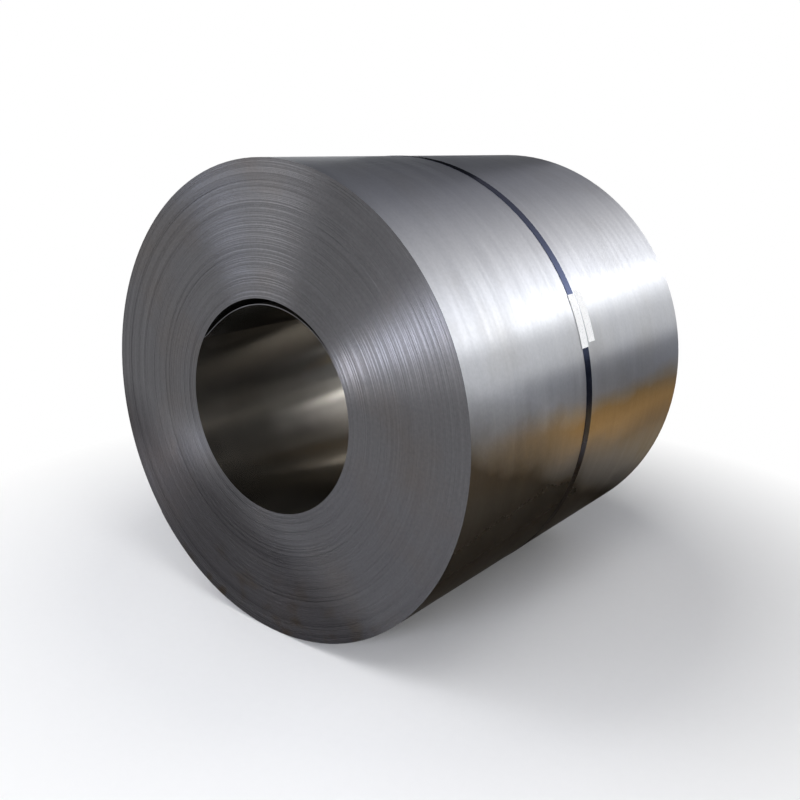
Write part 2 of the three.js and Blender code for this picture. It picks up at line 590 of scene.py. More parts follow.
@dataclass(frozen=True)
class StrapSeal:
    """The crimped seal that joins the strap's two ends."""

    size: SealSize
    strap: StrapSize
    coil: CoilSize

    def notched(self, arc: float) -> bool:
        """Whether a place along the seal is inside one of the crimped notches."""
        return abs(abs(arc) - self.size.notch_spacing / 2) < self.size.notch_length / 2

    def section(self, arc: float) -> list[tuple[float, float]]:
        """Draw the folded sheet's cross-section.

        Args:
            arc: A place along the seal, in metres from its middle.

        Returns:
            The section's corners as (along, up) pairs.
        """
        size = self.size
        half = self.strap.width / 2 + size.side_gap + size.sheet
        top = size.under + size.sheet + (0 if self.notched(arc) else size.bulge)
        low = self.strap.seat
        if self.notched(arc):
            half -= size.notch_depth
            low = size.under - size.bulge
        soft = size.sheet / 2
        return [
            (-half, low),
            (-half + size.sheet, low),
            (-half + size.sheet, size.under),
            (half - size.sheet, size.under),
            (half - size.sheet, low),
            (half, low),
            (half, top - soft),
            (half - soft, top),
            (-half + soft, top),
            (-half, top - soft),
        ]

    def stations(self) -> list[float]:
        """Choose where the seal's cross-section is drawn, with pairs of places at the notches' ends.

        Returns:
            Places along the seal, in metres from its middle.
        """
        size = self.size
        end, lip = size.length / 2, size.crimp_lip
        places = list(np.linspace(-end, end, size.sections))
        for middle in (-size.notch_spacing / 2, size.notch_spacing / 2):
            for edge in (middle - size.notch_length / 2, middle + size.notch_length / 2):
                places += [edge - lip, edge + lip]
        return sorted(places)

    def build(self, finish: Material) -> Object:
        """Make the seal and dress it.

        Args:
            finish: The seal's material.

        Returns:
            The seal as one object.
        """
        rings = []
        for arc in self.stations():
            section = np.array(self.section(arc))
            degrees = self.strap.seal_angle + math.degrees(arc / self.coil.outer_radius)
            radius = self.coil.bed(np.array(degrees)) + section[:, 1]
            along = self.strap.centre + section[:, 0]
            rings.append(self.coil.place(radius, np.radians(degrees), along))
        thing = make_mesh("strap_seal_crimped", *loft(np.array(rings)))
        thing.data.materials.append(finish)
        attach(thing, "root")
        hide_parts("strap_seal")
        return thing


@dataclass(frozen=True)
class LabelSize:
    """One label's sizes in metres, and its lower end's angle in degrees."""

    name: str
    node: str
    end: float
    centre: float
    seat: float  # how high its underside lies over the coil
    width: float = 0.036
    length: float = 0.153
    thickness: float = 0.00025
    curl: float = 0.0004  # how far its ends lift
    curl_share: float = 0.0625  # of its length at each end
    ripple: float = 0.00006
    ripple_waves: tuple[float, float] = (41.0, 9.0)  # radians along and across the label
    columns: int = 7
    rows: int = 41


@dataclass(frozen=True)
class Label:
    """A strip of paper stuck round the barrel."""

    size: LabelSize
    coil: CoilSize

    def rings(self) -> np.ndarray:
        """Place the paper's cross-section at each step along its length, with its ends lifted a little.

        Returns:
            An array of steps by corners by 3.
        """
        size = self.size
        across = np.linspace(-0.5, 0.5, size.columns)
        under = np.stack([across, np.zeros(size.columns)], axis=1)
        over = np.stack([across[::-1], np.ones(size.columns)], axis=1)
        section = np.concatenate([under, over])
        share = np.linspace(0, 1, size.rows)[:, None]
        degrees = size.end - np.degrees(size.length * (1 - share) / self.coil.outer_radius)
        near_end = 1 - (1 - np.abs(2 * share - 1)) / (2 * size.curl_share)
        lift = size.curl * np.clip(near_end, 0, 1) ** 2
        waves = size.ripple_waves[0] * share + size.ripple_waves[1] * section[None, :, 0]
        wave = size.ripple * (1 + np.sin(waves))
        radius = self.coil.outside(degrees) + size.seat + lift + wave
        radius = radius + size.thickness * section[None, :, 1]
        along = size.centre + size.width * section[None, :, 0]
        return self.coil.place(radius, np.radians(degrees), along)

    def build(self, finish: Material) -> Object:
        """Make the label and dress it.

        Args:
            finish: The label's material.

        Returns:
            The label as one object.
        """
        thing = make_mesh(self.size.name, *loft(self.rings()))
        thing.data.materials.append(finish)
        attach(thing, "root")
        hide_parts(self.size.node)
        return thing


# --- Finishes ---


@dataclass(frozen=True)
class Around:
    """Coordinates round the coil's axis for patterns, made by shader nodes."""

    tree: Tree
    axis_height: float

    def sockets(self) -> tuple[Socket, Socket, Socket]:
        """Read where a point of the surface lies round the axis.

        Returns:
            The direction from the axis, the distance from it and the place along it.
        """
        where = add_node(self.tree, "ShaderNodeTexCoord").outputs["Object"]
        centred = add_node(
            self.tree,
            "ShaderNodeVectorMath",
            {"operation": "SUBTRACT"},
            {0: where, 1: (0, 0, self.axis_height)},
        ).outputs[0]
        flat = add_node(
            self.tree, "ShaderNodeVectorMath", {"operation": "MULTIPLY"}, {0: centred, 1: (1, 0, 1)}
        ).outputs[0]
        away = add_node(self.tree, "ShaderNodeVectorMath", {"operation": "NORMALIZE"}, {0: flat})
        length = add_node(self.tree, "ShaderNodeVectorMath", {"operation": "LENGTH"}, {0: flat})
        parts = add_node(self.tree, "ShaderNodeSeparateXYZ", inputs={0: centred})
        return away.outputs[0], length.outputs["Value"], parts.outputs["Y"]

    def stretched(
        self,
        away: Socket,
        place: Socket,
        size: float,
        swirl: float,
        detail: float,
    ) -> Socket:
        """Noise drawn out round the axis.

        Args:
            away: The direction from the axis.
            place: The coordinate that the noise is fine along, in metres.
            size: The size of its grain along that coordinate, in metres.
            swirl: How much it changes in going once round.
            detail: Octaves of finer noise.

        Returns:
            The noise's value.
        """
        scaled = add_node(
            self.tree, "ShaderNodeMath", {"operation": "DIVIDE"}, {0: place, 1: size}
        ).outputs[0]
        fine = add_node(self.tree, "ShaderNodeCombineXYZ", inputs={"Y": scaled}).outputs[0]
        spot = add_node(
            self.tree,
            "ShaderNodeVectorMath",
            {"operation": "MULTIPLY_ADD"},
            {0: away, 1: (swirl, swirl, swirl), 2: fine},
        ).outputs[0]
        noise = add_node(
            self.tree, "ShaderNodeTexNoise", inputs={"Vector": spot, "Scale": 1.0, "Detail": detail}
        )
        return noise.outputs[0]


def speckle(tree: Tree, scale: float, detail: float, roughness: float = 0.5) -> Socket:
    """A pattern of soft spots that is fixed to the object.

    Args:
        tree: The node tree.
        scale: Spots for each metre.
        detail: Octaves of finer spots.
        roughness: How strong the finer ones are.

    Returns:
        The pattern's value.
    """
    where = add_node(tree, "ShaderNodeTexCoord").outputs["Object"]
    inputs = {"Vector": where, "Scale": scale, "Detail": detail, "Roughness": roughness}
    return add_node(tree, "ShaderNodeTexNoise", inputs=inputs).outputs[0]


def between(
    tree: Tree,
    value: Socket,
    low: float,
    high: float,
    source: tuple[float, float] = (0.3, 0.7),
) -> Socket:
    """A pattern's value brought between two others.

    Args:
        tree: The node tree.
        value: The pattern.
        low: What the source's lower end gives.
        high: What its upper end gives.
        source: The pattern's values that give them.

    Returns:
        The new value.
    """
    inputs = {
        "Value": value,
        "From Min": source[0],
        "From Max": source[1],
        "To Min": low,
        "To Max": high,
    }
    return add_node(tree, "ShaderNodeMapRange", inputs=inputs).outputs[0]


def mixed(
    tree: Tree,
    share: Socket | float,
    one: object,
    other: object,
    blend: Blend = Blend.MIX,
) -> Socket:
    """Two colours mixed.

    Args:
        tree: The node tree.
        share: How much of the second colour.
        one: The first colour, or its socket.
        other: The second colour, or its socket.
        blend: The way of mixing.

    Returns:
        The mixed colour.
    """
    settings = {"data_type": "RGBA", "blend_type": blend.value}
    return add_node(tree, "ShaderNodeMix", settings, {0: share, 6: one, 7: other}).outputs[2]


@dataclass(frozen=True)
class LowDownColouring:
    """Painted shade that darkens the steel towards the floor, a band of painted shade above it, and a
    straw colour: a painted warm reflection on the barrel, tarnish in patches on the ends.

    Each colour is what the steel's own is multiplied by, so white changes nothing. Each border is a
    height in metres at the coil's middle, where its layer is full, and how much higher the layer has
    faded out.
    """

    # Painted shade: full low down, faded out higher up.
    painted_shade: str
    painted_shade_border: tuple[float, float]
    tilt: tuple[float, float] = (0.0, 0.0)  # how the painted shade's border falls for each metre along x and y
    # A band of painted shade just above the lower one.
    dulling_and_shade_band: str = "#ffffff"
    shade_band_border: tuple[float, float] = (0.0, 0.01)
    # On the barrel a painted warm reflection; on the ends, in patches, tarnish.
    warm_reflection_and_tarnish: str = "#ffffff"
    straw_share: float = 0.0
    straw_border: tuple[float, float] = (0.0, 0.01)
    patchy: bool = False  # whether the straw colour comes in patches of tarnish, also where the painted shade is full
    patch_scale: float = 13.0  # patches of about 80 mm
    patch_range: tuple[float, float] = (0.52, 0.66)
    unevenness: float = 0.03  # metres that a border wanders up and down

    def layer(
        self,
        tree: Tree,
        cloud: Socket,
        border: tuple[float, float],
        tilt: tuple[float, float] = (0.0, 0.0),
        share: float = 1.0,
    ) -> Socket:
        """How thick one layer is at each place.

        Args:
            tree: The node tree.
            cloud: Wide noise that makes the border uneven.
            border: The height where the layer is full, and how much higher it has gone.
            tilt: How the border falls for each metre along x and y.
            share: The layer's thickness where it is full.

        Returns:
            The thickness, from 0 to the share.
        """
        where = add_node(tree, "ShaderNodeTexCoord").outputs["Object"]
        level = add_node(
            tree, "ShaderNodeVectorMath", {"operation": "DOT_PRODUCT"}, {0: where, 1: (*tilt, 1.0)}
        ).outputs["Value"]
        uneven = between(tree, cloud, -self.unevenness, self.unevenness)
        level = add_node(tree, "ShaderNodeMath", {"operation": "ADD"}, {0: level, 1: uneven})
        return between(tree, level.outputs[0], share, 0.0, (border[0], sum(border)))

    def cover(self, tree: Tree, colour: Socket, cloud: Socket) -> tuple[Socket, Socket]:
        """The colour with the painted shade, the band above it and the straw colour laid on.

        Args:
            tree: The node tree.
            colour: The clean colour.
            cloud: Wide noise that makes the layers' borders uneven.

        Returns:
            The new colour, and the painted shade's tint on what the steel mirrors at a glancing angle.
        """
        # Painted shade, full low down.
        painted_shade = self.layer(tree, cloud, self.painted_shade_border, self.tilt)
        clear = between(tree, painted_shade, 1.0, 0.0, (0.0, 1.0))
        # A band of painted shade above it.
        dulling_and_shade_band = add_node(
            tree,
            "ShaderNodeMath",
            {"operation": "MULTIPLY"},
            {0: self.layer(tree, cloud, self.shade_band_border), 1: clear},
        ).outputs[0]
        room = clear
        if self.patchy:
            room = between(tree, speckle(tree, self.patch_scale, 4.0), 0.0, 1.0, self.patch_range)
        # The straw colour: a painted warm reflection on the barrel, tarnish in patches on the ends.
        warm_reflection_and_tarnish = add_node(
            tree,
            "ShaderNodeMath",
            {"operation": "MULTIPLY"},
            {0: self.layer(tree, cloud, self.straw_border, share=self.straw_share), 1: room},
        ).outputs[0]
        tint: object = (1.0, 1.0, 1.0, 1.0)
        colour = mixed(tree, warm_reflection_and_tarnish, colour, linear(self.warm_reflection_and_tarnish), Blend.MULTIPLY)
        for share, layer in ((dulling_and_shade_band, self.dulling_and_shade_band), (painted_shade, self.painted_shade)):
            colour = mixed(tree, share, colour, linear(layer), Blend.MULTIPLY)
            tint = mixed(tree, share, tint, linear(layer), Blend.MULTIPLY)
        return colour, tint


@dataclass(frozen=True)
class SteelFinish:
    """Cold-rolled or slit steel whose grain runs round the axis.

    Lengths are in metres. A range is the two values of a pattern between which it has its effect.
    """

    name: str
    light: str
    dark: str
    grain: float  # between two lines of its main pattern
    second_grain: float  # between two lines of the weaker one that it is mixed with
    gloss_grain: float  # between two lines that are glossier than the rest
    gloss_swirl: float  # how much those lines change in going once round
    roughness: tuple[float, float]
    anisotropy: float
    bump: float
    relief: float  # the pattern's depth
    mottle: float  # how far small soft spots change its tone
    stain: str
    # Painted shade low down, and the straw colour.
    low_down_colouring: LowDownColouring
    axis_height: float
    lean: tuple[float, float] = (0.0, 0.0)  # how far duller and glossier lines face off the axis
    swirl: float = 1.6  # how much its main pattern changes in going once round
    second_swirl: float = 3.2
    across_radius: bool = False
    stain_share: float = 0.25
    second_share: float = 0.35
    tone_range: tuple[float, float] = (0.42, 0.93)
    gloss_range: tuple[float, float] = (0.42, 0.6)
    lean_range: tuple[float, float] = (0.49, 0.59)
    cloud_scale: float = 3.2  # clouds of about 0.3 m
    stain_range: tuple[float, float] = (0.5, 0.75)
    cloud_dulling: tuple[float, float] = (-0.02, 0.03)  # what the clouds add to the roughness
    spot_scale: float = 110.0  # spots of about 9 mm

    def lines(self, tree: Tree) -> tuple[Socket, Socket, Socket]:
        """The patterns that run round the axis.

        Args:
            tree: The node tree.

        Returns:
            The pattern of tone and relief, the pattern of gloss, and the direction from the axis.
        """
        around = Around(tree, self.axis_height)
        away, radius, along = around.sockets()
        place = radius if self.across_radius else along
        main = around.stretched(away, place, self.grain, self.swirl, 4.0)
        second = around.stretched(away, place, self.second_grain, self.second_swirl, 2.0)
        gloss = around.stretched(away, place, self.gloss_grain, self.gloss_swirl, 1.0)
        terms = {0: second, 1: self.second_share, 2: main}
        blend = add_node(tree, "ShaderNodeMath", {"operation": "MULTIPLY_ADD"}, terms)
        return blend.outputs[0], gloss, away

    def facing(self, tree: Tree, gloss: Socket, away: Socket) -> Socket:
        """The surface's normal, turned off the axis by the lines of gloss.

        Args:
            tree: The node tree.
            gloss: The pattern of gloss.
            away: The direction from the axis.

        Returns:
            The normal.
        """
        lean = between(tree, gloss, *self.lean, self.lean_range)
        outward = add_node(
            tree, "ShaderNodeVectorMath", {"operation": "SCALE"}, {0: away, "Scale": lean}
        ).outputs[0]
        normal = add_node(tree, "ShaderNodeNewGeometry").outputs["Normal"]
        turned = add_node(
            tree, "ShaderNodeVectorMath", {"operation": "ADD"}, {0: outward, 1: normal}
        ).outputs[0]
        unit = add_node(tree, "ShaderNodeVectorMath", {"operation": "NORMALIZE"}, {0: turned})
        return unit.outputs[0]

    def build(self) -> Material:
        """Make the finish.

        Returns:
            The material.
        """
        material, shader = new_material(self.name)
        tree = material.node_tree
        blend, gloss, away = self.lines(tree)
        cloud = speckle(tree, self.cloud_scale, 5.0, 0.6)
        tone = between(tree, blend, 0.0, 1.0, self.tone_range)
        colour = mixed(tree, tone, linear(self.dark), linear(self.light))
        spread = between(tree, cloud, 0.0, self.stain_share, self.stain_range)
        colour = mixed(tree, spread, colour, linear(self.stain))
        # Painted shade low down, and on the barrel a painted warm reflection.
        colour, glancing = self.low_down_colouring.cover(tree, colour, cloud)
        spots = speckle(tree, self.spot_scale, 3.0)
        shade = between(tree, spots, 1.0 - self.mottle, 1.0 + self.mottle)
        colour = add_node(
            tree, "ShaderNodeVectorMath", {"operation": "SCALE"}, {0: colour, "Scale": shade}
        ).outputs[0]
        rough = between(tree, gloss, self.roughness[1], self.roughness[0], self.gloss_range)
        dulling_and_shade_band = between(tree, cloud, *self.cloud_dulling)
        rough = add_node(tree, "ShaderNodeMath", {"operation": "ADD"}, {0: rough, 1: dulling_and_shade_band}).outputs[0]
        relief = {
            "Strength": self.bump,
            "Distance": self.relief,
            "Height": blend,
            "Normal": self.facing(tree, gloss, away),
        }
        tangent = add_node(tree, "ShaderNodeTangent", {"direction_type": "RADIAL", "axis": "Y"})
        inputs = {
            "Base Color": colour,
            "Metallic": 1.0,
            # The painted shade also dims what the steel mirrors at a glancing angle.
            "Specular Tint": glancing,
            "Roughness": rough,
            "Anisotropic": self.anisotropy,
            "Anisotropic Rotation": 0.25,  # a quarter turn, so that the grain runs round the axis
            "Tangent": tangent.outputs[0],
            "Normal": add_node(tree, "ShaderNodeBump", inputs=relief).outputs[0],
        }
        feed(shader, inputs)
        return material


def coil_finishes(size: CoilSize) -> dict[Zone, SteelFinish]:
    """What the coil's surfaces are.

    Args:
        size: The coil's sizes.

    Returns:
        The finish of each zone.
    """
    # Cold-rolled low-carbon strip: polished rolls leave fine lines along it, so a lamp shows as a
    # broad soft band across them. Rolling oil dulls it. Low down it is darkened by painted shade, and a
    # straw-coloured band on it is a painted warm reflection.
    barrel = SteelFinish(
        name="cold_rolled_strip_surface",
        light="#b8babe",
        dark="#afb1b6",
        grain=0.03,
        second_grain=0.0035,
        gloss_grain=0.02,
        gloss_swirl=1.2,
        roughness=(0.33, 0.36),
        anisotropy=0.7,
        bump=0.03,
        relief=0.0004,
        mottle=0.04,
        stain="#8d8578",
        # Painted shade low down with a band of it above, and a straw band of painted warm reflection.
        low_down_colouring=LowDownColouring(
            painted_shade="#7e776c",
            painted_shade_border=(0.42, 0.2),
            tilt=(0.0, 0.4),
            dulling_and_shade_band="#d0d0d0",
            shade_band_border=(0.5, 0.09),
            warm_reflection_and_tarnish="#e6c897",
            straw_share=1.0,
            straw_border=(0.65, 0.07),
        ),
        axis_height=size.axis_height,
    )
    # Slit edges wound tight: each lap is sheared and torn, so the end is a dark ground of fine rings,
    # and the rings that are smooth or lean outwards catch a lamp as a fan of bright lines. The rings
    # are drawn about two laps wide, as single ones are too fine to show.
    edges = SteelFinish(
        name="slit_strip_edges_wound_tight",
        light="#666669",
        dark="#5f5e61",
        grain=0.0034,
        second_grain=0.014,
        gloss_grain=0.0036,
        gloss_swirl=0.16,
        roughness=(0.34, 0.42),
        anisotropy=0.97,
        lean=(0.08, 0.66),
        bump=0.3,
        relief=0.001,
        mottle=0.08,
        swirl=0.9,
        second_swirl=1.8,
        across_radius=True,
        stain="#6a5d50",
        # Darker towards the floor and the left, as painted shade; straw-coloured tarnish in patches low
        # down.
        low_down_colouring=LowDownColouring(
            painted_shade="#c8c6c6",
            painted_shade_border=(0.24, 0.14),
            tilt=(0.45, 0.0),
            warm_reflection_and_tarnish="#dcbc86",
            straw_share=0.8,
            straw_border=(0.04, 0.18),
            patchy=True,
        ),
        axis_height=size.axis_height,
    )
    # The strip's inner side, pressed round the mandrel: cleaner and smoother than the outside, so the
    # round wall mirrors the room as long streaks.
    bore = SteelFinish(
        name="cold_rolled_bore_surface",
        light="#a29f9a",
        dark="#9d9a94",
        grain=0.05,
        second_grain=0.004,
        gloss_grain=0.03,
        gloss_swirl=0.8,
        roughness=(0.215, 0.22),
        anisotropy=0.85,
        bump=0.0,
        relief=0.0004,
        mottle=0.01,
        stain="#5b5750",
        stain_share=0.0,
        # Darker towards the bottom of the bore, as painted shade.
        low_down_colouring=LowDownColouring(painted_shade="#e0dcd6", painted_shade_border=(0.4, 0.3)),
        axis_height=size.axis_height,
    )
    return {Zone.BARREL: barrel, Zone.EDGES: edges, Zone.BORE: bore}


@dataclass(frozen=True)
class BluedStrapping:
    """Blued steel strapping, heated in air until a thin oxide forms, then waxed.

    The oxide takes most of the metal's brightness and leaves a deep navy, and the wax a clear sheen
    in which the lamps show as short sharp glints. It is rubbed paler in patches, and low on the coil
    it is darker, by painted shade, and duller.
    """

    colour: str = "#1f283f"
    worn: str = "#343d55"
    waxed: str = "#e6e6ea"  # what it keeps of a mirror at a glancing angle
    low_glancing_shade: str = "#969390"  # the same low on the coil, dimmed there by painted shade
    low_shade_colour: str = "#3e3b38"  # painted shade: the strapping's tone low on the coil, where the darkening is full
    low_shade_border: tuple[float, float] = (0.5, 0.1)  # metres up where the painted shade is full, and how much higher it is gone
    dulling: float = 0.3  # what the painted shade's mask adds to the roughness
    roughness: tuple[float, float] = (0.18, 0.24)
    patch_scale: float = 60.0  # rubbed patches of about 17 mm
    wear_share: float = 0.35
    wear_range: tuple[float, float] = (0.5, 0.75)
    bump: float = 0.15
    relief: float = 0.0003

    def build(self) -> Material:
        """Make the finish.

        Returns:
            The material.
        """
        material, shader = new_material("blued_and_waxed_steel_strapping")
        tree = material.node_tree
        patches = speckle(tree, self.patch_scale, 4.0)
        wear = between(tree, patches, 0.0, self.wear_share, self.wear_range)
        colour = mixed(tree, wear, linear(self.colour), linear(self.worn))
        where = add_node(tree, "ShaderNodeTexCoord").outputs["Object"]
        height = add_node(tree, "ShaderNodeSeparateXYZ", inputs={0: where}).outputs["Z"]
        low, fade = self.low_shade_border
        # Painted shade low on the coil, which also dulls it.
        low_shade = between(tree, height, 1.0, 0.0, (low, low + fade))
        colour = mixed(tree, low_shade, colour, linear(self.low_shade_colour))
        glancing = mixed(tree, low_shade, linear(self.waxed), linear(self.low_glancing_shade))
        sheen = between(tree, patches, *self.roughness)
        terms = {0: low_shade, 1: self.dulling, 2: sheen}
        rough = add_node(tree, "ShaderNodeMath", {"operation": "MULTIPLY_ADD"}, terms).outputs[0]
        relief = {"Strength": self.bump, "Distance": self.relief, "Height": patches}
        inputs = {
            "Base Color": colour,
            "Metallic": 1.0,
            "Specular Tint": glancing,
            "Roughness": rough,
            "Normal": add_node(tree, "ShaderNodeBump", inputs=relief).outputs[0],
        }
        feed(shader, inputs)
        return material


@dataclass(frozen=True)
class SealFinish:
    """Galvanised seal steel, crimped cold.

    The zinc's crystals give it a dull mid grey in soft spots, with broad weak highlights.
    """

    colour: str = "#62666c"
    dull: str = "#3e4147"
    roughness: tuple[float, float] = (0.36, 0.5)
    crystal_scale: float = 140.0  # zinc crystals of about 7 mm
    bump: float = 0.2
    relief: float = 0.0003

    def build(self) -> Material:
        """Make the finish.

        Returns:
            The material.
        """
        material, shader = new_material("crimped_galvanised_seal_steel")
        tree = material.node_tree
        crystals = speckle(tree, self.crystal_scale, 3.0)
        relief = {"Strength": self.bump, "Distance": self.relief, "Height": crystals}
        inputs = {
            "Base Color": mixed(tree, crystals, linear(self.dull), linear(self.colour)),
            "Metallic": 1.0,
            "Roughness": between(tree, crystals, *self.roughness),
            "Normal": add_node(tree, "ShaderNodeBump", inputs=relief).outputs[0],
        }
        feed(shader, inputs)
        return material


@dataclass(frozen=True)
class LabelPaper:
    """Calendered label paper, white, with a few faint grey marks that stand in for its print.

    It scatters nearly all light evenly, so it stays white where the steel mirrors the dark room,
    and its smoothed fibres leave a weak sheen.
    """

    colour: str = "#fcfcfb"
    shade: str = "#dcdbd6"
    shade_share: float = 0.05
    print_colour: str = "#8f9296"
    print_share: float = 0.3
    print_scale: float = 240.0  # marks of about 4 mm
    print_range: tuple[float, float] = (0.56, 0.64)
    roughness: tuple[float, float] = (0.36, 0.46)
    fibre_scale: float = 900.0  # clumps of fibres of about 1 mm, as single ones are too fine to show
    bump: float = 0.2
    relief: float = 0.0001

    def build(self) -> Material:
        """Make the finish.

        Returns:
            The material.
        """
        material, shader = new_material("matt_white_label_paper")
        tree = material.node_tree
        fibres = speckle(tree, self.fibre_scale, 3.0)
        clumps = between(tree, fibres, 0.0, self.shade_share)
        tint = mixed(tree, clumps, linear(self.colour), linear(self.shade))
        marks = speckle(tree, self.print_scale, 2.0)
        printed = between(tree, marks, 0.0, self.print_share, self.print_range)
        relief = {"Strength": self.bump, "Distance": self.relief, "Height": fibres}
        inputs = {
            "Base Color": mixed(tree, printed, tint, linear(self.print_colour)),
            "Roughness": between(tree, fibres, *self.roughness),
            "Normal": add_node(tree, "ShaderNodeBump", inputs=relief).outputs[0],
        }
        feed(shader, inputs)
        return material


# --- The studio ---


@dataclass(frozen=True)
class Softbox:
    """One area lamp, which faces a point."""

    name: str
    place: tuple[float, float, float]
    target: tuple[float, float, float]
    size: tuple[float, float]
    power: float
    colour: str = "#ffffff"


@dataclass(frozen=True)
class Glow:
    """One broad bright part of the room, far away."""

    toward: tuple[float, float, float]
    tightness: float  # the power of the cosine that it fades with
    strength: float
    colour: str


@dataclass(frozen=True)
class Board:
    """One matt board, out of view, that shows only where the steel mirrors it; one with a glow shines by
    itself, as painted light.
    """

    name: str
    foot: tuple[float, float]  # the middle of its lower edge
    heading: float  # degrees from +X that its width runs along
    width: float
    bottom: float
    height: float
    colour: str
    glow: float = 0.0  # painted light: how strongly it shines in its own colour, though it is no lamp
    tilt: float = 90.0  # degrees that it rises from the floor
    thickness: float = 0.01


@dataclass(frozen=True)
class StudioPlan:
    """Where the camera, the lamps and the backdrop stand."""

    eye: tuple[float, float, float] = (1.7542, -2.2474, 1.3816)
    forward: tuple[float, float, float] = (-0.63411, 0.73599, -0.23712)
    lens: float = 40.124
    shift: tuple[float, float] = (0.0504, -0.0408)
    sensor: float = 36.0  # millimetres, as the lens
    clip_end: float = 100.0
    world: str = "#3c3e42"
    floor_colour: str = "#f0f0f0"
    floor_shade: str = "#d0d0d0"
    floor_shade_share: float = 0.03
    floor_grain: float = 40.0  # soft spots of about 25 mm
    floor_reach: float = 4.4  # how far out the floor is level
    floor_bend: float = 0.8
    floor_wall: float = 1.9
    floor_sides: int = 96
    floor_rings: tuple[float, ...] = (0.0, 0.25, 0.5, 1.0)  # shares of its reach
    bend_steps: int = 8
    glows: tuple[Glow, ...] = (
        Glow((0.4, 0.869, 0.29), 60.0, 4.6, "#fafbff"),
        Glow((0.247, 0.869, 0.428), 24.0, 1.4, "#fffcf8"),
        Glow((0.0, 0.869, 0.494), 8.0, 0.3, "#f2f0ff"),
    )
    boxes: tuple[Softbox, ...] = (
        Softbox("key_strip", (2.52, 3.3, 2.08), (0.6, 0.0, 0.98), (1.9, 0.45), 14.0),
        Softbox("left_fill", (-3.6, -1.6, 4.0), (0.0, 0.0, 0.2), (4.5, 4.0), 94.0),
        Softbox("front_fill", (-2.2, -3.6, 3.8), (0.0, 0.0, 0.2), (4.0, 3.0), 38.0),
        Softbox("high_front", (1.6, -1.9, 4.4), (0.0, 0.0, 0.2), (2.2, 2.2), 48.0),
        Softbox("face_strip", (1.4, -4.6, 1.9), (0.0, -0.6, 0.7), (1.8, 0.6), 86.0, "#eef2ff"),
        Softbox("face_tall", (1.4, -4.6, 1.9), (0.0, -0.6, 0.7), (0.9, 2.6), 34.0),
        Softbox("right_fill", (4.6, -1.4, 2.3), (0.4, 0.0, 0.8), (1.5, 1.5), 30.0),
        Softbox("left_cool", (-4.08, -2.55, 2.48), (0.0, -0.6, 0.7), (0.8, 1.4), 10.0, "#d8e4ff"),
    )
    boards: tuple[Board, ...] = (
        # These four glow: painted light, mirrored low on the barrel as warm and grey bands.
        Board("warm_low_board", (1.124, 0.77), 102.7, 1.6, 0.0, 0.42, "#d8b880", 0.38),
        Board("grey_low_board", (0.837, 2.04), 102.7, 1.0, 0.0, 0.42, "#a8a6a2", 0.12),
        Board("grey_high_board", (1.035, 1.16), 102.7, 2.4, 0.42, 0.38, "#c4c5ca", 0.15),
        Board("grey_mid_board", (1.101, 0.78), 102.7, 0.56, 0.43, 0.35, "#808186", 0.05),
        Board("dark_board", (-2.5, 3.9), 0.0, 2.4, 1.9, 1.8, "#101010"),
        Board("low_dark_board", (-1.25, 1.3), 0.0, 1.6, 0.0, 1.32, "#242422"),
        Board("dark_mat", (-0.22, 0.72), 0.0, 1.56, 0.012, 1.7, "#3a3836", tilt=0.0),
    )
    white_from: float = 1.0  # metres from the coil where the floor starts to turn plain white
    white_at: float = 1.9


